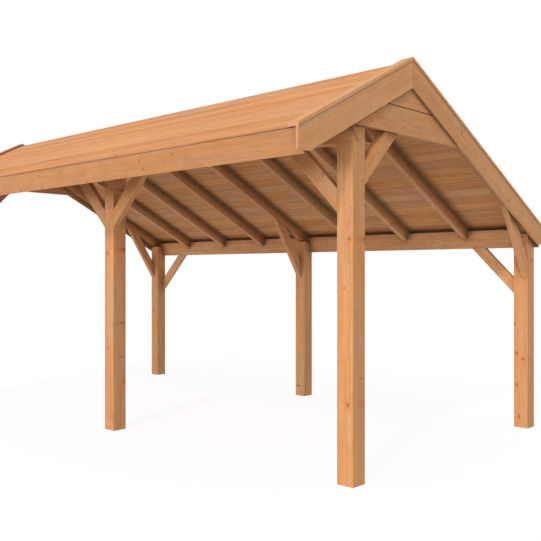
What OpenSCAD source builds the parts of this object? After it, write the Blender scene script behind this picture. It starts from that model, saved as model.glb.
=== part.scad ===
// Open-sided timber shed with six posts and an uneven gable roof.
// X runs along the ridge, -Y is the high open front, +Z is up.
// The origin is on the ground, in the middle of the roof's outline.

/* [Frame] */
// Side of the square posts
post = 150; // [110:1:200]
// Distance between the centre lines of neighbouring posts along the length
bay = 2972; // [1800:1:4000]
// Distance between the centre lines of the front and the rear posts
frame_depth = 2931; // [2200:1:3700]
// Height of the underside of the front plate above the ground
plate_front_z = 2550; // [2100:1:3200]
// Height of the section of the front plate
plate_front_h = 236; // [180:1:280]
// Height of the section of the rear plate
plate_rear_h = 190; // [150:1:230]
// Thickness of both plates
plate_t = 80; // [60:1:95]
// Depth to which the rear plate is let into the backs of the rear posts
rear_lap = 45; // [20:1:75]
// Height of the rear post heads above the underside of the rear plate
rear_head = 135; // [60:1:150]

/* [Roof] */
// Slope of both sides of the roof in degrees
pitch = 27; // [20:0.5:32]
// Distance from the front faces of the front posts back to the ridge
ridge_in = 723; // [500:1:1200]
// Overhang of the roof in front of the front posts
eave_front = 663; // [300:1:800]
// Overhang of the roof behind the rear posts
eave_rear = 87; // [80:1:300]
// Thickness of the roof boarding
boarding_t = 22; // [15:1:40]

/* [Rafters] */
// Width of a rafter
rafter_w = 58; // [40:1:80]
// Depth of a rafter, square to the slope
rafter_h = 117; // [80:1:150]
// Depth of the rafter's seat at the outer face of the front plate
seat_front = 35; // [5:1:50]
// Depth of the rafter's seat at the inner face of the rear plate
seat_rear = 90; // [30:1:110]
// Thickness of the collars beside the second rafter pair from each end
collar_t = 45; // [30:1:60]
// Height of the collars
collar_h = 120; // [90:1:150]

/* [Braces] */
// Thickness of the braces on the front posts
brace_front_t = 60; // [40:1:80]
// Width of the braces on the front posts, square to their length
brace_front_w = 126; // [80:1:150]
// Thickness of the braces along the rear row
brace_rear_t = 48; // [35:1:75]
// Width of the braces along the rear row, square to their length
brace_rear_w = 110; // [80:1:130]
// Thickness of the steep braces under the rafters
brace_rafter_t = 62; // [40:1:75]
// Width of the steep braces, square to their length
brace_rafter_w = 105; // [80:1:130]
// Drop from the underside of the front plate to the lower edge of a brace at its post
brace_front_drop = 515; // [300:1:900]
// Drop from the underside of the rear plate to the lower edge of a brace at its post
brace_rear_drop = 524; // [300:1:800]
// Drop from the underside of the gable board to the lower edge of a brace at its post
brace_gable_drop = 434; // [300:1:700]
// Drop from the underside of the rafter to the lower edge of a steep brace at its post
brace_rafter_drop = 484; // [320:1:700]
// Slope of the braces that rise from the rear posts to the rafters, in degrees
brace_rafter_angle = 57; // [50:0.5:62]

/* [Gables] */
// Height of the underside of the gable board above the underside of the front plate
gable_up = 122; // [90:1:140]
// Height of the gable board
gable_h = 213; // [150:1:260]
// Thickness of the gable board and of the panel above it, behind the barge boards
gable_t = 30; // [15:1:40]
// Open joint between the gable board and the panel
gable_joint = 6; // [0:1:12]

/* [Edge boards] */
// Thickness of the barge boards on the gable edges
barge_t = 22; // [18:1:40]
// Width of the barge boards, square to the slope
barge_h = 197; // [170:1:240]
// Length of the level cut under the foot of each barge board
barge_foot = 131; // [60:1:160]
// Projection of the barge and cap boards past the ends of the boarding
barge_nose = 10; // [0:1:30]
// Width of the cap boards that lie on the gable edges of the roof
cap_w = 105; // [60:1:160]
// Thickness of the cap boards
cap_t = 26; // [15:1:35]
// Overhang of the cap boards past the faces of the barge boards
cap_over = 6; // [0:1:15]
// Thickness of the fascia boards
fascia_t = 28; // [18:1:40]
// Height of the front fascia board, square to the slope
fascia_h = 200; // [150:1:230]
// Open joint between the fascia boards and the barge boards
fascia_joint = 8; // [2:1:15]

/* [Hidden] */

// Number of rafter pairs, which share the length evenly
rafter_pairs = 9;

// Offset of the middle steep brace from the middle of its post
brace_middle_x = -13;
// Small open joint between the two rafters of a pair
joint = 0.4;
// Spare length of a cutting solid past what it cuts
spare = 10;

// Outline of the roof in plan, which centres the part, and the ends of the frame
roof_depth = eave_front + frame_depth + post + eave_rear;
frame_length = 2 * bay + post;
left = -frame_length / 2;
right = frame_length / 2;

// Lines across the depth, from front to back
tip_front = -roof_depth / 2;
front_face = tip_front + eave_front;
front_inner = front_face + post;
ridge_y = front_face + ridge_in;
rear_inner = front_face + frame_depth;
rear_face = rear_inner + post;
tip_rear = rear_face + eave_rear;
rear_plate_y = rear_face - rear_lap;
fascia_rear_y = rear_plate_y + plate_t;

// Heights of the ridge for each layer, measured plumb
run = tan(pitch);
plumb = 1 / cos(pitch);
under_ridge = plate_front_z + plate_front_h - seat_front + ridge_in * run;
rafter_ridge = under_ridge + rafter_h * plumb;
roof_ridge = rafter_ridge + boarding_t * plumb;
cap_ridge = roof_ridge + cap_t * plumb;
barge_ridge = roof_ridge - barge_h * plumb;

// Heights that follow from the roof
plate_front_top = plate_front_z + plate_front_h;
plate_rear_top = height(under_ridge, rear_plate_y) + seat_rear;
plate_rear_z = plate_rear_top - plate_rear_h;
gable_z = plate_front_z + gable_up;
gable_top = gable_z + gable_h;
rear_head_z = plate_rear_z + rear_head;

// Starts of the edge boards along the length
barge_left = left - gable_t - barge_t;
barge_right = right + gable_t;
cap_left = barge_left - cap_over;
cap_right = barge_right + barge_t + cap_over - cap_w;

// Tips of the barge and cap boards, and the half length of the fascia boards
nose_front = tip_front - barge_nose;
nose_rear = tip_rear + barge_nose;
fascia_half = right + gable_t - fascia_joint;

// Spacing of the rafter pairs, shared out over the length of the boarding
rafter_gap = (frame_length + 2 * gable_t - rafter_w) / (rafter_pairs - 1);

wood_post = [0.78, 0.56, 0.39];
wood_beam = [0.74, 0.52, 0.36];
wood_brace = [0.76, 0.55, 0.38];
wood_board = [0.84, 0.60, 0.42];

// Height at depth y of a layer whose height at the ridge is given
function height(ridge, y) = ridge - abs(y - ridge_y) * run;

// Depth at which a layer reaches height z on the front (-1) or the rear (1) slope
function depth_at(ridge, z, side) = ridge_y + side * (ridge - z) / run;

// Left side of a rafter pair counted from 0; the end pairs stay inside the gable boards
function rafter_x(i) = min(max(left - gable_t + i * rafter_gap, left), right - rafter_w);

// Point on a slope: s along it from the ridge, n square to it below the roof's surface
function slope_point(s, n, side) = [
    ridge_y + side * (s * cos(pitch) - n * sin(pitch)),
    roof_ridge - s * sin(pitch) - n * cos(pitch)
];

// Extrudes an outline drawn in depth and height along X, from x0 to x1
module along(x0, x1) {
    translate([x0, 0, 0])
        rotate([90, 0, 90])
            linear_extrude(x1 - x0)
                children();
}

// Extrudes an outline drawn in length and height along Y, from y0 to y1
module across(y0, y1) {
    translate([0, y1, 0])
        rotate([90, 0, 0])
            linear_extrude(y1 - y0)
                children();
}

// Post of the front row, its head notched so that the plate is flush in front
module front_post(x) {
    color(wood_post)
        along(x - post / 2, x + post / 2)
            polygon([
                [front_face, 0],
                [front_inner, 0],
                [front_inner, plate_front_top],
                [front_face + plate_t, plate_front_top],
                [front_face + plate_t, plate_front_z],
                [front_face, plate_front_z]
            ]);
}

// Post of the rear row, its head notched for the plate and cut under the rafter
module rear_post(x) {
    color(wood_post)
        along(x - post / 2, x + post / 2)
            intersection() {
                polygon([
                    [rear_inner, 0],
                    [rear_face, 0],
                    [rear_face, plate_rear_z],
                    [rear_plate_y, plate_rear_z],
                    [rear_plate_y, rear_head_z],
                    [rear_inner, rear_head_z]
                ]);
                polygon([
                    [rear_inner, 0],
                    [rear_face, 0],
                    [rear_face, height(under_ridge, rear_face)],
                    [rear_inner, height(under_ridge, rear_inner)]
                ]);
            }
}

module plate_front() {
    color(wood_beam)
        along(left, right)
            translate([front_face, plate_front_z])
                square([plate_t, plate_front_h]);
}

// Rear plate, its top planed off where it would reach the boarding
module plate_rear() {
    color(wood_beam)
        along(left, right)
            intersection() {
                translate([rear_plate_y, plate_rear_z])
                    square([plate_t, plate_rear_h]);
                polygon([
                    [rear_plate_y, plate_rear_z],
                    [fascia_rear_y, plate_rear_z],
                    [fascia_rear_y, height(rafter_ridge, fascia_rear_y)],
                    [rear_plate_y, height(rafter_ridge, rear_plate_y)]
                ]);
            }
}

// Outline of a brace at 45 degrees from a post's side at 0 up to a level underside
module brace_outline(drop, top_z, width) {
    edge = width * sqrt(2);
    polygon([
        [0, top_z - drop],
        [drop, top_z],
        [drop - edge, top_z],
        [0, top_z - drop + edge]
    ]);
}

// Brace along the front row from a post at x to the front plate, rising to one side
module front_brace(x, side) {
    color(wood_brace)
        translate([x + side * post / 2, 0, 0])
            mirror([side < 0 ? 1 : 0, 0, 0])
                across(front_face, front_face + brace_front_t)
                    brace_outline(brace_front_drop, plate_front_z, brace_front_w);
}

// Brace along the rear row from a post at x to the rear plate, rising to one side
module rear_brace(x, side) {
    color(wood_brace)
        translate([x + side * post / 2, 0, 0])
            mirror([side < 0 ? 1 : 0, 0, 0])
                across(rear_face - brace_rear_t, rear_face)
                    brace_outline(brace_rear_drop, plate_rear_z, brace_rear_w);
}

// Gable brace from the back of a front post up behind the gable board
module gable_brace(x0) {
    color(wood_brace)
        along(x0, x0 + brace_front_t)
            translate([front_inner, 0])
                brace_outline(brace_gable_drop + gable_h, gable_top, brace_front_w);
}

// Steep brace from the front of a rear post up to the underside of a rafter
module rafter_brace(x0) {
    rise = tan(brace_rafter_angle);
    edge = brace_rafter_w / cos(brace_rafter_angle);
    foot_z = height(under_ridge, rear_inner) - brace_rafter_drop;
    low = brace_rafter_drop / (rise - run);
    high = (brace_rafter_drop - edge) / (rise - run);
    color(wood_brace)
        along(x0, x0 + brace_rafter_t)
            polygon([
                [rear_inner, foot_z],
                [rear_inner, foot_z + edge],
                [rear_inner - high, foot_z + edge + high * rise],
                [rear_inner - low, foot_z + low * rise]
            ]);
}

// Outline of a front rafter, its tail cut square behind the fascia
module front_rafter_outline() {
    tail = (ridge_y - tip_front) * plumb - fascia_t;
    difference() {
        polygon([
            [ridge_y - joint / 2, height(under_ridge, ridge_y - joint / 2)],
            [ridge_y - joint / 2, height(rafter_ridge, ridge_y - joint / 2)],
            slope_point(tail, boarding_t, -1),
            slope_point(tail, boarding_t + rafter_h, -1)
        ]);
        translate([front_face, plate_front_z])
            square([plate_t, plate_front_h]);
    }
}

// Outline of a rear rafter, cut plumb at the outer face of the rear plate
module rear_rafter_outline() {
    difference() {
        polygon([
            [ridge_y + joint / 2, height(under_ridge, ridge_y + joint / 2)],
            [ridge_y + joint / 2, height(rafter_ridge, ridge_y + joint / 2)],
            [fascia_rear_y, height(rafter_ridge, fascia_rear_y)],
            [fascia_rear_y, height(under_ridge, fascia_rear_y)]
        ]);
        translate([rear_plate_y, plate_rear_z])
            square([plate_t + spare, plate_rear_h]);
    }
}

// Pair of rafters, counted from 0 at the left gable
module rafter_pair(i) {
    x0 = rafter_x(i);
    color(wood_beam) {
        along(x0, x0 + rafter_w)
            front_rafter_outline();
        along(x0, x0 + rafter_w)
            rear_rafter_outline();
    }
}

// Outline of a level board under the boarding, from the front faces of the posts back
module level_outline(z, h) {
    intersection() {
        translate([front_face, z])
            square([frame_depth, h]);
        polygon([
            [front_face, z],
            [front_face, height(rafter_ridge, front_face)],
            [ridge_y, rafter_ridge],
            [depth_at(rafter_ridge, z, 1), z]
        ]);
    }
}

// Collar on the inner side of a rafter pair, resting on the front plate and trimmed to the
// slopes; i counts the pairs from 0
module collar(i) {
    x0 = i < (rafter_pairs - 1) / 2 ? rafter_x(i) + rafter_w : rafter_x(i) - collar_t;
    color(wood_beam)
        along(x0, x0 + collar_t)
            level_outline(plate_front_top, collar_h);
}

// Gable board on the outer face of the frame, its ends cut under the boarding
module gable_board(x0) {
    color(wood_board)
        along(x0, x0 + gable_t)
            level_outline(gable_z, gable_h);
}

// Panel that closes the gable between the gable board and the boarding
module gable_panel(x0) {
    foot_z = gable_top + gable_joint;
    color(wood_board)
        along(x0, x0 + gable_t)
            polygon([
                [depth_at(rafter_ridge, foot_z, -1), foot_z],
                [depth_at(rafter_ridge, foot_z, 1), foot_z],
                [ridge_y, rafter_ridge]
            ]);
}

// Boarding of the front slope; like the rear one it runs on to the barge boards
module boarding_front() {
    length = (ridge_y - tip_front) * plumb - fascia_t;
    color(wood_board)
        along(left - gable_t, right + gable_t)
            polygon([
                [ridge_y, rafter_ridge],
                [ridge_y, roof_ridge],
                slope_point(length, 0, -1),
                slope_point(length, boarding_t, -1)
            ]);
}

module boarding_rear() {
    color(wood_board)
        along(left - gable_t, right + gable_t)
            polygon([
                [ridge_y, rafter_ridge],
                [ridge_y, roof_ridge],
                [tip_rear, height(roof_ridge, tip_rear)],
                [tip_rear, height(rafter_ridge, tip_rear)]
            ]);
}

// Front fascia, square to the slope, its top edge flush with the roof's surface
module fascia_front() {
    reach = (ridge_y - tip_front) * plumb;
    color(wood_board)
        along(-fascia_half, fascia_half)
            polygon([
                slope_point(reach, 0, -1),
                slope_point(reach - fascia_t, 0, -1),
                slope_point(reach - fascia_t, fascia_h, -1),
                slope_point(reach, fascia_h, -1)
            ]);
}

// Rear fascia, plumb on the outer face of the rear plate and under the boarding
module fascia_rear() {
    outer = fascia_rear_y + fascia_t;
    color(wood_board)
        along(-fascia_half, fascia_half)
            polygon([
                [fascia_rear_y, plate_rear_z],
                [outer, plate_rear_z],
                [outer, height(rafter_ridge, outer)],
                [fascia_rear_y, height(rafter_ridge, fascia_rear_y)]
            ]);
}

// Outline of a barge board: plumb joint at the ridge, plumb tip and level foot
module barge_outline(tip, side) {
    foot_y = tip - side * barge_foot;
    foot_z = height(barge_ridge, foot_y);
    polygon([
        [ridge_y, barge_ridge],
        [ridge_y, roof_ridge],
        [tip, height(roof_ridge, tip)],
        [tip, foot_z],
        [foot_y, foot_z]
    ]);
}

module barge(x0, tip, side) {
    color(wood_board)
        along(x0, x0 + barge_t)
            barge_outline(tip, side);
}

// Cap board along a gable edge, lying on the boarding and the barge board
module cap(x0, tip) {
    color(wood_board)
        along(x0, x0 + cap_w)
            polygon([
                [ridge_y, roof_ridge],
                [ridge_y, cap_ridge],
                [tip, height(cap_ridge, tip)],
                [tip, height(roof_ridge, tip)]
            ]);
}

front_post(-bay);  // post_front_left
front_post(0);  // post_front_middle
front_post(bay);  // post_front_right
rear_post(-bay);  // post_rear_left
rear_post(0);  // post_rear_middle
rear_post(bay);  // post_rear_right
plate_front();
plate_rear();
front_brace(-bay, 1);  // brace_front_left
front_brace(0, -1);  // brace_front_middle_left
front_brace(0, 1);  // brace_front_middle_right
front_brace(bay, -1);  // brace_front_right
rear_brace(-bay, 1);  // brace_rear_left
rear_brace(bay, -1);  // brace_rear_right
gable_brace(left);  // brace_gable_left_front
gable_brace(right - brace_front_t);  // brace_gable_right_front
rafter_brace(left);  // brace_gable_left_rear
rafter_brace(right - brace_rafter_t);  // brace_gable_right_rear
rafter_brace(brace_middle_x - brace_rafter_t / 2);  // brace_middle_rear
rafter_pair(0);  // rafters_1
rafter_pair(1);  // rafters_2
rafter_pair(2);  // rafters_3
rafter_pair(3);  // rafters_4
rafter_pair(4);  // rafters_5
rafter_pair(5);  // rafters_6
rafter_pair(6);  // rafters_7
rafter_pair(7);  // rafters_8
rafter_pair(8);  // rafters_9
collar(1);  // collar_2
collar(7);  // collar_8
gable_board(left - gable_t);  // gable_board_left
gable_board(right);  // gable_board_right
gable_panel(left - gable_t);  // gable_panel_left
gable_panel(right);  // gable_panel_right
boarding_front();
boarding_rear();
fascia_front();
fascia_rear();
barge(barge_left, nose_front, -1);  // barge_left_front
barge(barge_left, nose_rear, 1);  // barge_left_rear
barge(barge_right, nose_front, -1);  // barge_right_front
barge(barge_right, nose_rear, 1);  // barge_right_rear
cap(cap_left, nose_front);  // cap_left_front
cap(cap_left, nose_rear);  // cap_left_rear
cap(cap_right, nose_front);  // cap_right_front
cap(cap_right, nose_rear);  // cap_right_rear
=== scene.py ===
import math
import random

import bmesh
import bpy
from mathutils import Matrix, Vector


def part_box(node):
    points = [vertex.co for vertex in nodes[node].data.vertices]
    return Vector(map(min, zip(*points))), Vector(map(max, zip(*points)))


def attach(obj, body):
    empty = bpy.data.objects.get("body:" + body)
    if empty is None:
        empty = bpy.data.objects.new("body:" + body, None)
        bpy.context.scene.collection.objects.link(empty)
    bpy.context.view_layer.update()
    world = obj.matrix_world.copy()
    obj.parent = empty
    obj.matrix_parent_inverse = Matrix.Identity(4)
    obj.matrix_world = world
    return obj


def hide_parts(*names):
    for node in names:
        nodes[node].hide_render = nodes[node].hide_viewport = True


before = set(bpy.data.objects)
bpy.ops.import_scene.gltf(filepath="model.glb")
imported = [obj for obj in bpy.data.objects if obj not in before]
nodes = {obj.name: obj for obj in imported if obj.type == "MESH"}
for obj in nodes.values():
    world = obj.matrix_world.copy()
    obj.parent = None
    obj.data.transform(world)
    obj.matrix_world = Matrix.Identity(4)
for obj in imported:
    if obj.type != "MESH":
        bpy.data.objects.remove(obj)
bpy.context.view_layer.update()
rng = random.Random(4131)

# The ridge runs along X, and both slopes rise to it at the same pitch
PITCH = math.radians(27)
COS, SIN, TAN = math.cos(PITCH), math.sin(PITCH), math.tan(PITCH)
X, Y, Z = Vector((1, 0, 0)), Vector((0, 1, 0)), Vector((0, 0, 1))
SLOPE_FRONT, SLOPE_REAR = Vector((0, COS, SIN)), Vector((0, -COS, SIN))
RIDGE_Y = (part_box("boarding_front")[1].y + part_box("boarding_rear")[0].y) / 2

# Slope of the braces that rise from the rear posts to the rafters
STEEP = math.radians(57)

# Planed softwood as display colours, from the dark late wood to the palest streaks
DARK, MID, LIGHT, PALE = (176, 117, 72), (207, 149, 98), (221, 165, 115), (235, 185, 137)
HEARTWOOD, END_GRAIN = (213, 138, 90), (178, 124, 84)
KNOT_HALO, KNOT_CORE, KNOT_BARK = (204, 116, 62), (156, 88, 50), (110, 64, 38)

# What an orange streak adds to red, green and blue; a rose one takes as much away
ORANGE = (0.08, -0.03, -0.30)

# Year rings in a metre, and the radius of the smallest and the largest knots
RINGS_PER_M = 235.0
KNOT_MIN, KNOT_MAX = 0.0003, 0.0100

# Shade in corners: how far it reaches, and the heights at which it is gone and full
CORNER_REACH = 0.12
SHADE_GONE, SHADE_FULL = 0.12, 0.30

# A section this much wider than thick is a board, and its pith lies this far outside it
BOARD_RATIO = 1.6
PITH_NEAR, PITH_FAR = 0.03, 0.11

# Most that the pith moves aside in a metre, and the length of pattern that timbers are cut from
PITH_DRIFT = 0.012
PATTERN_LENGTH = 400

# An arris is an edge sharper than this angle that runs with the grain, by its cosine to it
ARRIS_ANGLE, WITH_GRAIN = math.radians(20), 0.985

# Roof boards: thickness, distance from board to board, and the narrowest one at the eaves
THICK, BOARD_PITCH, NARROWEST = 0.022, 0.1333, 0.03

# Joint between two boards: half its gap, the eased arris above and the V below
HALF_JOINT, EASED, VEE = 0.0003, 0.0012, 0.0022

# Groove and tongue: upper and lower edge below the roof's surface, depth, and how far they taper
GROOVE_TOP, GROOVE_FOOT, GROOVE_DEPTH = 0.0078, 0.0142, 0.0075
TONGUE_TOP, TONGUE_FOOT, TONGUE_DEPTH = 0.0082, 0.0138, 0.0065
TAPER = 0.0002

# Front fascia: its section, and the thin nosing above an open joint
FASCIA_T, FASCIA_H = 0.028, 0.200
NOSE_T, NOSE_JOINT = 0.009, 0.003

# Light: a fill reaches the shed, and what is seen only meets the eye
FLOOR_COLOUR, FLOOR_FILL, FLOOR_SEEN = 0.15, 0.36, 0.90
WORLD_FILL, WORLD_FRONT = 0.54, 2.7
SUN_STRENGTH, SUN_COLOUR, SUN_ANGLE = 1.15, (1.0, 0.72, 0.54), math.radians(4)
SUN_DIRECTION = Vector((-0.36, 1, -0.81))

# Camera at eye height beyond the right front post, looking level along a diagonal
LENS, SENSOR, LENS_SHIFT = 51.112, 36, 0.0023
EYE_X, EYE_BEFORE_POST, EYE_Z = 6.452, 4.535, 1.589
HEADING = math.radians(43.03)


# ---------------------------------------------------------------- materials

def srgb(r, g, b):
    """Linear colour from 0-255 display values."""
    def linear(c):
        c /= 255
        return c / 12.92 if c <= 0.04045 else ((c + 0.055) / 1.055) ** 2.4
    return (linear(r), linear(g), linear(b), 1.0)


class Tree:
    """Short names for building a node tree. Values may be numbers or sockets."""

    def __init__(self, node_tree):
        self.nodes, self.links = node_tree.nodes, node_tree.links
        self.nodes.clear()

    def put(self, socket, value):
        if isinstance(value, bpy.types.NodeSocket):
            self.links.new(value, socket)
        else:
            socket.default_value = value

    def math(self, operation, *values):
        n = self.nodes.new("ShaderNodeMath")
        n.operation = operation
        for socket, value in zip(n.inputs, values):
            self.put(socket, value)
        return n.outputs[0]

    def times(self, a, b):
        return self.math("MULTIPLY", a, b)

    def plus(self, base, pattern, amount):
        """base plus the pattern times amount."""
        return self.math("MULTIPLY_ADD", pattern, amount, base)

    def sway(self, base, pattern, amount):
        """base moved both ways by a pattern that swings about one half."""
        return self.plus(base, self.math("SUBTRACT", pattern, 0.5), amount)

    def hypot(self, a, b):
        return self.math("SQRT", self.math("ADD", self.times(a, a), self.times(b, b)))

    def attribute(self, name):
        n = self.nodes.new("ShaderNodeAttribute")
        n.attribute_name = name
        return n

    def split(self, vector):
        n = self.nodes.new("ShaderNodeSeparateXYZ")
        self.put(n.inputs[0], vector)
        return n.outputs[0], n.outputs[1], n.outputs[2]

    def join(self, x, y, z=0.0):
        n = self.nodes.new("ShaderNodeCombineXYZ")
        for socket, value in zip(n.inputs, (x, y, z)):
            self.put(socket, value)
        return n.outputs[0]

    def noise(self, vector, scale=1.0, detail=2.0, rough=0.5, colour=False):
        n = self.nodes.new("ShaderNodeTexNoise")
        n.inputs["Scale"].default_value = scale
        n.inputs["Detail"].default_value = detail
        n.inputs["Roughness"].default_value = rough
        self.put(n.inputs["Vector"], vector)
        return n.outputs["Color" if colour else "Fac"]

    def stretched(self, point, along, across, detail=3.0, rough=0.6, colour=False):
        """Noise drawn out with the grain, with its scale along and across the grain."""
        x, a, b = point
        place = self.join(self.times(x, along), self.times(a, across), self.times(b, across))
        return self.noise(place, detail=detail, rough=rough, colour=colour)

    def step(self, value, low, high, to_low=0.0, to_high=1.0):
        """Smooth step of value from low to high, which may also run downwards."""
        n = self.nodes.new("ShaderNodeMapRange")
        n.interpolation_type = "SMOOTHSTEP"
        self.put(n.inputs["Value"], value)
        self.put(n.inputs["From Min"], low)
        self.put(n.inputs["From Max"], high)
        n.inputs["To Min"].default_value = to_low
        n.inputs["To Max"].default_value = to_high
        return n.outputs[0]

    def ramp(self, value, stops):
        n = self.nodes.new("ShaderNodeValToRGB")
        elements = n.color_ramp.elements
        while len(elements) < len(stops):
            elements.new(0.5)
        for element, (position, colour) in zip(elements, stops):
            element.position = position
            element.color = colour
        self.put(n.inputs[0], value)
        return n.outputs[0]

    def mix(self, factor, a, b, blend="MIX"):
        n = self.nodes.new("ShaderNodeMix")
        n.data_type = "RGBA"
        n.blend_type = blend
        self.put(n.inputs["Factor"], factor)
        self.put([i for i in n.inputs if i.name == "A" and i.type == "RGBA"][0], a)
        self.put([i for i in n.inputs if i.name == "B" and i.type == "RGBA"][0], b)
        return [o for o in n.outputs if o.type == "RGBA"][0]

    def output(self, kind, shader):
        out = self.nodes.new(kind)
        self.put(out.inputs["Surface"], shader)


def new_material(name):
    mat = bpy.data.materials.new(name)
    mat.use_nodes = True
    return mat, Tree(mat.node_tree)


def knot_field(t, grain, x, angle, radius, cell, largest):
    """Core, bark and halo of the knots. Branches leave the pith outwards, so a knot is a point
    in length and angle. cell is their distance along the grain and largest their radius."""
    per_m, per_rad = 1.0 / cell, 1.5
    along, around = t.times(x, per_m), t.times(angle, per_rad)
    cells = t.nodes.new("ShaderNodeTexVoronoi")
    cells.voronoi_dimensions = "2D"
    cells.inputs["Scale"].default_value = 1.0
    t.put(cells.inputs["Vector"], t.join(along, around))
    knot_along, knot_around, _ = t.split(cells.outputs["Position"])
    draw, _, _ = t.split(cells.outputs["Color"])
    # a knot is a little longer than it is wide, with an uneven edge
    dx = t.times(t.math("DIVIDE", t.math("SUBTRACT", along, knot_along), per_m), 0.8)
    da = t.times(t.math("DIVIDE", t.math("SUBTRACT", around, knot_around), per_rad), radius)
    gap = t.sway(t.hypot(dx, da), t.noise(grain, 95.0), 0.005)
    reach = t.math("DIVIDE", gap, t.step(draw, 0.40, 1.0, KNOT_MIN, largest))
    core = t.step(reach, 1.05, 0.75)
    bark = t.times(t.step(reach, 0.7, 1.0), core)
    halo = t.step(reach, 3.4, 1.0)
    return core, bark, halo


def corner_shade(t, corner):
    """Painted shade in the corners where timbers meet, from ambient occlusion, fading out at the
    ground.
    """
    nearby = t.nodes.new("ShaderNodeAmbientOcclusion")
    nearby.samples = 6
    nearby.inputs["Distance"].default_value = CORNER_REACH
    _, _, height = t.split(t.nodes.new("ShaderNodeNewGeometry").outputs["Position"])
    free = t.math("MAXIMUM", nearby.outputs["AO"], t.step(height, SHADE_FULL, SHADE_GONE))
    shade = t.step(free, 0.60, 1.0, corner, 1.0)
    return t.join(shade, shade, shade)


def wood(name, shift=(1.0, 1.0, 1.0), knots=1.0, rings=1.0, streaks=1.0, mottle=1.0, tones=1.0,
         hues=1.0, cell=0.42, fine=1.0, face_shade=None, corner=0.42):
    """Softwood, from the piece's own grain coordinates: x runs with the grain, and a and b
    are measured from the pith, so the year rings and the knots run through the whole piece.
    shift scales the colours, cell is the distance between knots, fine packs the streaks,
    face_shade is a painted shade that tints the faces marked for it, and corner is the painted
    shade where timbers meet. The others are the strengths of the patterns named."""
    def tint(display):
        return tuple(c * k for c, k in zip(srgb(*display), shift)) + (1.0,)

    mat, t = new_material(name)
    grain = t.attribute("grain").outputs["Vector"]
    tone_r, tone_g, tone_b = t.split(t.attribute("tone").outputs["Vector"])

    # slow waves in the fibres
    x, a, b = t.split(grain)
    _, wave_a, wave_b = t.split(t.stretched((x, a, b), 1.1, 6.0, 2.0, 0.5, colour=True))
    a, b = t.sway(a, wave_a, 0.030), t.sway(b, wave_b, 0.030)
    point = (x, a, b)
    radius, angle = t.hypot(a, b), t.math("ARCTAN2", b, a)
    core, bark, halo = knot_field(t, grain, x, angle, radius, cell, KNOT_MAX * knots)

    # year rings, pushed aside round the knots
    phase = t.plus(t.times(radius, RINGS_PER_M), t.stretched(point, 1.6, 15.0, 2.0, 0.5), 2.6)
    part = t.math("FRACT", t.plus(phase, halo, 1.6))
    late = t.times(t.step(part, 0.30, 0.90), t.step(part, 1.0, 0.93))

    # streaks and fibres
    broad = t.stretched(point, 0.45, 3.5, 2.0, 0.5)
    streak = t.stretched(point, 1.4, 42.0 * fine, 4.0)
    fleck = t.stretched(point, 26.0, 130.0, 2.0)
    fibre = t.stretched(point, 9.0, 420.0, 2.0)
    cloud = t.stretched(point, 5.0, 9.0)

    lightness = t.plus(0.5, t.math("SUBTRACT", late, 0.33), -0.20 * rings)
    for pattern, amount in ((streak, 0.80 * streaks), (fleck, 0.30), (fibre, 0.25), (broad, 0.35),
                            (cloud, 0.45 * mottle), (tone_r, 0.30 * tones)):
        lightness = t.sway(lightness, pattern, amount)
    colour = t.ramp(lightness, [(0.0, tint(DARK)), (0.36, tint(MID)),
                                (0.62, tint(LIGHT)), (1.0, tint(PALE))])

    # orange and rose streaks, and redder heartwood bands
    hue = t.sway(t.stretched(point, 1.1, 30.0 * fine), tone_b, 0.12 * tones)
    hue = t.step(t.sway(hue, fleck, 0.5), 0.30, 0.70)
    orange, rose = (tuple(1 + k * way * hues for k in ORANGE) + (1.0,) for way in (1, -1))
    colour = t.mix(1.0, colour, t.mix(hue, orange, rose), blend="MULTIPLY")
    warm = t.sway(t.stretched(point, 0.6, 11.0, rough=0.55), tone_g, 0.22)
    colour = t.mix(t.step(warm, 0.46, 0.74, 0.0, 0.40), colour, tint(HEARTWOOD))

    end = t.attribute("end_grain").outputs["Fac"]
    for mask, strength, paint in ((halo, 0.50, KNOT_HALO), (core, 0.75, KNOT_CORE),
                                  (bark, 0.50, KNOT_BARK), (end, 0.25, END_GRAIN)):
        colour = t.mix(t.times(mask, strength), colour, srgb(*paint))
    # painted shade: a darker tint on the marked faces, the rafters' sides and the boarding's
    # underside
    if face_shade:
        marked = t.attribute("face_shade").outputs["Fac"]
        colour = t.mix(marked, colour, face_shade + (1.0,), blend="MULTIPLY")
    # painted shade in the corners where timbers meet
    colour = t.mix(1.0, colour, corner_shade(t, corner), blend="MULTIPLY")

    # raised late wood, fibres and knots, with the late wood and the knots a little glossier
    height = t.times(late, 0.30)
    for pattern, amount in ((fibre, 0.55), (streak, 0.45), (core, 0.5)):
        height = t.plus(height, pattern, amount)
    bump = t.nodes.new("ShaderNodeBump")
    bump.inputs["Strength"].default_value = 0.35
    bump.inputs["Distance"].default_value = 0.0012
    t.put(bump.inputs["Height"], height)
    rough = t.sway(t.plus(t.plus(0.70, late, -0.10), core, -0.14), streak, 0.12)

    shader = t.nodes.new("ShaderNodeBsdfPrincipled")
    shader.inputs["Specular IOR Level"].default_value = 0.28
    t.put(shader.inputs["Base Color"], colour)
    t.put(shader.inputs["Roughness"], rough)
    t.put(shader.inputs["Normal"], bump.outputs[0])
    t.output("ShaderNodeOutputMaterial", shader.outputs[0])
    return mat


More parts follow.
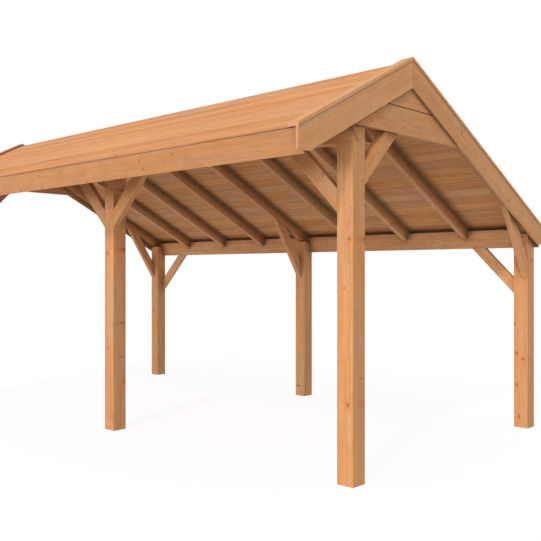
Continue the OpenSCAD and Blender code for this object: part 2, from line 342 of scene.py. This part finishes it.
MATERIALS = {
    "post": wood("wood_post", shift=(0.97, 0.965, 0.97), knots=1.25, mottle=0.7, tones=0.6,
                 cell=0.32, corner=0.70),
    "beam": wood("wood_beam", shift=(0.98, 0.97, 0.96), knots=0.8),
    "brace": wood("wood_brace", knots=0.7, cell=0.5, corner=0.70),
    # painted shade on the rafters' faces towards the gables
    "rafter": wood("wood_rafter", knots=0.8, face_shade=(0.93, 0.98, 0.98)),
    "board": wood("wood_board", knots=0.7, rings=0.7, streaks=0.6, hues=0.6, cell=0.5,
                  corner=0.55),
    "fascia": wood("wood_fascia", shift=(0.91, 0.875, 0.88), knots=0.8, rings=0.7, streaks=0.6,
                   hues=0.6, cell=0.4, corner=0.55),
    # painted shade on the boarding's underside
    "boarding": wood("wood_boarding", shift=(1.01, 0.97, 0.92), knots=0.6, rings=0.7,
                     streaks=1.2, mottle=0.6, tones=1.1, cell=0.6, fine=0.4,
                     face_shade=(0.967, 0.965, 0.935)),
}


# ---------------------------------------------------------------- meshes

def rise(side):
    """Direction up the slope in front of the ridge (negative side) or behind it."""
    return SLOPE_FRONT if side < 0 else SLOPE_REAR


def draw_pith(half_s, half_w):
    """Place of the pith in a section of these half sizes: outside a board, on one of its wide
    sides, and near a corner of a square timber."""
    turn = rng.choice((-1, 1))
    if half_s > half_w * BOARD_RATIO:
        return Vector((rng.uniform(-0.5, 0.5) * half_s,
                       turn * (half_w + rng.uniform(PITH_NEAR, PITH_FAR))))
    if half_w > half_s * BOARD_RATIO:
        return Vector((turn * (half_s + rng.uniform(PITH_NEAR, PITH_FAR)),
                       rng.uniform(-0.5, 0.5) * half_w))
    return Vector((rng.uniform(0.3, 1.5) * half_s * turn,
                   rng.uniform(0.3, 1.5) * half_w * rng.choice((-1, 1))))


def finish_piece(obj, islands, slot, node, look=None):
    """Writes the grain coordinates of every timber in a mesh, its tone, its end grain and its
    marked faces, and makes the mesh stand for the node. islands is a list of (vertex indices,
    grain direction, side direction), and look names the material where it isn't the slot's."""
    mesh = obj.data
    count = len(mesh.vertices)
    grain = [0.0] * (3 * count)
    tone = [0.5] * (3 * count)
    along_of = [None] * count
    for verts, along, side in islands:
        along = along.normalized()
        side = (side - along * side.dot(along)).normalized()
        third = along.cross(side)
        points = [mesh.vertices[i].co for i in verts]
        mid = Vector([(min(p[k] for p in points) + max(p[k] for p in points)) / 2
                      for k in range(3)])
        pith = draw_pith(max(abs((p - mid).dot(side)) for p in points),
                         max(abs((p - mid).dot(third)) for p in points))
        # the pith wanders along the timber, and each timber has its own stretch of pattern
        drift = [rng.uniform(-PITH_DRIFT, PITH_DRIFT) for _ in range(2)]
        shift = rng.uniform(0, PATTERN_LENGTH)
        shade = (rng.random(), rng.random(), rng.random())
        for i, p in zip(verts, points):
            u = (p - mid).dot(along)
            grain[3 * i] = u + shift
            grain[3 * i + 1] = (p - mid).dot(side) - pith[0] + drift[0] * u
            grain[3 * i + 2] = (p - mid).dot(third) - pith[1] + drift[1] * u
            tone[3 * i:3 * i + 3] = shade
            along_of[i] = along
    for label, data in (("grain", grain), ("tone", tone)):
        layer = mesh.attributes.new(label, "FLOAT_VECTOR", "POINT")
        layer.data.foreach_set("vector", data)
    # the marked faces are the boarding's underside, and the other timbers' faces to either gable;
    # the rafter and boarding materials paint shade on them
    end = mesh.attributes.new("end_grain", "FLOAT", "FACE")
    face_shade = mesh.attributes.new("face_shade", "FLOAT", "FACE")
    for face in mesh.polygons:
        cut = abs(face.normal.dot(along_of[face.vertices[0]])) > 0.75
        marked = face.normal.z < -0.5 if slot == "boarding" else abs(face.normal.x) > 0.9
        end.data[face.index].value = float(cut)
        face_shade.data[face.index].value = float(marked)
    mesh.materials.clear()
    mesh.materials.append(MATERIALS[look or slot])
    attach(obj, "root")
    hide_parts(node)


def new_object(name, bm):
    mesh = bpy.data.meshes.new(name)
    bm.to_mesh(mesh)
    bm.free()
    obj = bpy.data.objects.new(name, mesh)
    bpy.context.scene.collection.objects.link(obj)
    return obj


def ease(bm, edges, width):
    bmesh.ops.bevel(bm, geom=edges, offset=width, offset_type="OFFSET", segments=2, profile=0.5,
                    affect="EDGES", clamp_overlap=True)


def soften(obj):
    """Smooth shading with normals weighted by area, so flat faces stay flat beside bevels."""
    for poly in obj.data.polygons:
        poly.use_smooth = True
    modifier = obj.modifiers.new("weighted", "WEIGHTED_NORMAL")
    modifier.keep_sharp = True
    modifier.weight = 50
    graph = bpy.context.evaluated_depsgraph_get()
    mesh = bpy.data.meshes.new_from_object(obj.evaluated_get(graph))
    obj.modifiers.clear()
    old = obj.data
    obj.data = mesh
    mesh.name = old.name
    bpy.data.meshes.remove(old)


def loose_parts(mesh):
    """Vertex indices of each separate part of a mesh."""
    parent = list(range(len(mesh.vertices)))

    def find(i):
        while parent[i] != i:
            parent[i] = parent[parent[i]]
            i = parent[i]
        return i
    for e in mesh.edges:
        parent[find(e.vertices[0])] = find(e.vertices[1])
    groups = {}
    for i in range(len(parent)):
        groups.setdefault(find(i), []).append(i)
    return list(groups.values())


def timber(node, slot, along, side, edge=0.003, look=None, ridge_gap=0.0):
    """A CAD timber with its arrises eased along the grain and its cut ends left sharp.
    along may be a function of a point on the timber, and ridge_gap draws its cut back from
    the ridge."""
    def grain_at(point):
        return (along(point) if callable(along) else along).normalized()

    def is_arris(e):
        p, q = (v.co for v in e.verts)
        straight = abs((q - p).normalized().dot(grain_at((p + q) / 2))) > WITH_GRAIN
        return straight and e.calc_face_angle(0) > ARRIS_ANGLE

    bm = bmesh.new()
    bm.from_mesh(nodes[node].data)
    bmesh.ops.remove_doubles(bm, verts=bm.verts, dist=1e-5)
    bmesh.ops.dissolve_limit(bm, angle_limit=math.radians(0.5), verts=bm.verts, edges=bm.edges)
    behind = 1 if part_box(node)[1].y > RIDGE_Y + 0.01 else -1
    for v in bm.verts:
        if abs(v.co.y - RIDGE_Y) < 0.001:
            v.co.y += behind * ridge_gap
    ease(bm, [e for e in bm.edges if is_arris(e)], edge)
    for face in bm.faces:
        if abs(face.normal.dot(grain_at(face.calc_center_median()))) > 0.1:
            for e in face.edges:
                e.smooth = e.calc_face_angle(0) < math.radians(5)
    obj = new_object(node + "_timber", bm)
    soften(obj)
    islands = []
    for verts in loose_parts(obj.data):
        mid = sum((obj.data.vertices[i].co for i in verts), Vector()) / len(verts)
        islands.append((verts, grain_at(mid), side))
    finish_piece(obj, islands, slot, node, look)


def add_prism(bm, outline, low_x, high_x, to_point):
    """Solid between two equal ends; to_point places a point of the outline, given x."""
    rings = [[bm.verts.new(to_point(x, *at)) for at in outline] for x in (low_x, high_x)]
    for i in range(len(outline)):
        j = (i + 1) % len(outline)
        bm.faces.new((rings[0][i], rings[0][j], rings[1][j], rings[1][i]))
    bm.faces.new(list(reversed(rings[0])))
    bm.faces.new(rings[1])


def board_outline(s0, s1, head_lean=None, foot_lean=None):
    """Tongued and grooved board from s0 to s1 down the slope, as (place, depth): small arrises
    above, a V joint below. Where a lean is given, that end is a plain cut without a groove or a
    tongue, and the cut moves by the lean over a unit of depth."""
    if head_lean is None:
        edge, inner = s0 + HALF_JOINT, s0 + GROOVE_DEPTH
        head = [(edge + VEE, THICK), (edge, THICK - VEE),
                (edge, GROOVE_FOOT), (inner, GROOVE_FOOT - TAPER),
                (inner, GROOVE_TOP + TAPER), (edge, GROOVE_TOP),
                (edge, EASED), (edge + EASED, 0)]
    else:
        head = [(s0 + THICK * head_lean, THICK), (s0, 0)]
    if foot_lean is None:
        edge, tip = s1 - HALF_JOINT, s1 + TONGUE_DEPTH
        foot = [(edge - EASED, 0), (edge, EASED),
                (edge, TONGUE_TOP), (tip, TONGUE_TOP + TAPER),
                (tip, TONGUE_FOOT - TAPER), (edge, TONGUE_FOOT),
                (edge, THICK - VEE), (edge - VEE, THICK)]
    else:
        foot = [(s1, 0), (s1 + THICK * foot_lean, THICK)]
    return head + foot


def roof_boards(name, node, side, length, foot_lean):
    """Boards over one slope, in front of the ridge (-1) or behind it (1), from a plumb cut at
    the ridge to a cut at length with the lean given."""
    lo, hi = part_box(node)

    def to_point(x, s, n):
        return (x, RIDGE_Y + side * (s * COS - n * SIN), hi.z - s * SIN - n * COS)

    bm = bmesh.new()
    s0 = 0.0
    while s0 < length - NARROWEST:
        s1 = s0 + BOARD_PITCH
        head_lean = TAN if s0 == 0 else None
        if s1 > length - NARROWEST:
            outline = board_outline(s0, length, head_lean, foot_lean)
        else:
            outline = board_outline(s0, s1, head_lean)
        add_prism(bm, outline, lo.x, hi.x, to_point)
        s0 = s1
    bmesh.ops.recalc_face_normals(bm, faces=bm.faces)
    obj = new_object(name, bm)
    islands = [(verts, X, rise(side)) for verts in loose_parts(obj.data)]
    finish_piece(obj, islands, "boarding", node)


def front_fascia():
    """Nosing flush with the roof's surface, an open joint and the board below it, square to
    the slope."""
    lo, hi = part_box("fascia_front")

    def to_point(x, d, n):
        return (x, lo.y + d * COS + n * SIN, hi.z + (d - FASCIA_T) * SIN - n * COS)

    bm = bmesh.new()
    for n0, n1 in ((0.0, NOSE_T), (NOSE_T + NOSE_JOINT, FASCIA_H)):
        outline = ((0, n0), (FASCIA_T, n0), (FASCIA_T, n1), (0, n1))
        add_prism(bm, outline, lo.x, hi.x, to_point)
    bmesh.ops.recalc_face_normals(bm, faces=bm.faces)
    ease(bm, list(bm.edges), 0.0015)
    obj = new_object("fascia_front_boards", bm)
    soften(obj)
    islands = [(verts, X, Z) for verts in loose_parts(obj.data)]
    finish_piece(obj, islands, "board", "fascia_front", "fascia")


for n in sorted(nodes):
    if n.startswith("post_"):
        timber(n, "post", Z, X, edge=0.004)
    elif n.startswith("plate_"):
        timber(n, "beam", X, Z)
    elif n in ("brace_front_left", "brace_front_middle_right", "brace_rear_left"):
        timber(n, "brace", X + Z, Y)
    elif n in ("brace_front_right", "brace_front_middle_left", "brace_rear_right"):
        timber(n, "brace", Z - X, Y)
    elif n.startswith("brace_gable_") and n.endswith("_front"):
        timber(n, "brace", Y + Z, X)
    elif n.startswith("brace_"):
        timber(n, "brace", Vector((0, -math.cos(STEEP), math.sin(STEEP))), X)
    elif n.startswith("rafters_"):
        timber(n, "rafter", lambda point: rise(point.y - RIDGE_Y), X)
    elif n.startswith("collar_"):
        timber(n, "rafter", Y, Z)
    elif n.startswith("gable_"):
        timber(n, "board", Y, Z, edge=0.002)
    elif n == "fascia_rear":
        timber(n, "board", X, Z, edge=0.002, look="fascia")
    elif n.startswith(("barge_", "cap_")):
        slope = SLOPE_FRONT if n.endswith("front") else SLOPE_REAR
        if n.startswith("barge_"):
            timber(n, "board", slope, Z, edge=0.0015, ridge_gap=0.0015)
        else:
            timber(n, "board", slope, X, edge=0.0015, ridge_gap=0.0010)

front_fascia()

# the front boards end in a square cut behind the fascia, whose foot is the sheet's lowest point,
# and the rear ones in a plumb cut
lo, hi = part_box("boarding_front")
roof_boards("roof_boards_front", "boarding_front", -1, (hi.z - THICK * COS - lo.z) / SIN, 0.0)
lo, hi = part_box("boarding_rear")
roof_boards("roof_boards_rear", "boarding_rear", 1, (hi.y - RIDGE_Y) / COS, TAN)


# ---------------------------------------------------------------- stage, light and camera

def floor_material():
    """White to the eye, with a faint shadow, and an even light from below for the shed."""
    mat, t = new_material("floor_pale")
    diffuse = t.nodes.new("ShaderNodeBsdfDiffuse")
    diffuse.inputs["Color"].default_value = (FLOOR_COLOUR,) * 3 + (1,)
    path = t.nodes.new("ShaderNodeLightPath").outputs
    seen = t.math("MAXIMUM", path["Is Camera Ray"],
                  t.math("MAXIMUM", path["Is Glossy Ray"], path["Is Transmission Ray"]))
    glow = t.nodes.new("ShaderNodeEmission")
    t.put(glow.inputs["Strength"], t.plus(FLOOR_FILL, seen, FLOOR_SEEN - FLOOR_FILL))
    both = t.nodes.new("ShaderNodeAddShader")
    t.put(both.inputs[0], diffuse.outputs[0])
    t.put(both.inputs[1], glow.outputs[0])
    t.output("ShaderNodeOutputMaterial", both.outputs[0])
    return mat


def studio_world():
    """White to the eye. It fills evenly, with a wide soft light low in front of the shed."""
    world = bpy.data.worlds.new("world")
    world.use_nodes = True
    t = Tree(world.node_tree)
    _, y, z = t.split(t.nodes.new("ShaderNodeTexCoord").outputs["Generated"])
    front = t.step(t.times(y, -1.0), 0.3, 0.9)
    low = t.step(t.math("ABSOLUTE", z), 0.45, 0.1)
    fill = t.nodes.new("ShaderNodeBackground")
    fill.inputs["Color"].default_value = (1, 1, 1, 1)
    t.put(fill.inputs["Strength"], t.plus(WORLD_FILL, t.times(front, low), WORLD_FRONT))
    white = t.nodes.new("ShaderNodeBackground")
    white.inputs["Color"].default_value = (1, 1, 1, 1)
    path = t.nodes.new("ShaderNodeLightPath").outputs
    seen = t.math("MAXIMUM", path["Is Camera Ray"], path["Is Transmission Ray"])
    mixer = t.nodes.new("ShaderNodeMixShader")
    t.put(mixer.inputs[0], seen)
    t.put(mixer.inputs[1], fill.outputs[0])
    t.put(mixer.inputs[2], white.outputs[0])
    t.output("ShaderNodeOutputWorld", mixer.outputs[0])
    return world


bm = bmesh.new()
bmesh.ops.create_grid(bm, x_segments=1, y_segments=1, size=60)
floor = new_object("floor", bm)
floor.location.z = -0.0005
floor.data.materials.append(floor_material())

bpy.context.scene.world = studio_world()

sun_data = bpy.data.lights.new("key", "SUN")
sun_data.energy = SUN_STRENGTH
sun_data.angle = SUN_ANGLE
sun_data.color = SUN_COLOUR
sun = bpy.data.objects.new("key", sun_data)
sun.rotation_euler = SUN_DIRECTION.to_track_quat("-Z", "Y").to_euler()
bpy.context.scene.collection.objects.link(sun)

cam_data = bpy.data.cameras.new("camera")
cam_data.sensor_width = SENSOR
cam_data.lens = LENS
cam_data.shift_y = LENS_SHIFT
cam_data.clip_end = 200
cam = bpy.data.objects.new("camera", cam_data)
cam.location = (EYE_X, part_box("post_front_right")[0].y - EYE_BEFORE_POST, EYE_Z)
cam.rotation_euler = (math.radians(90), 0, HEADING)
bpy.context.scene.collection.objects.link(cam)
bpy.context.scene.camera = cam

bpy.context.scene.view_settings.view_transform = "Standard"
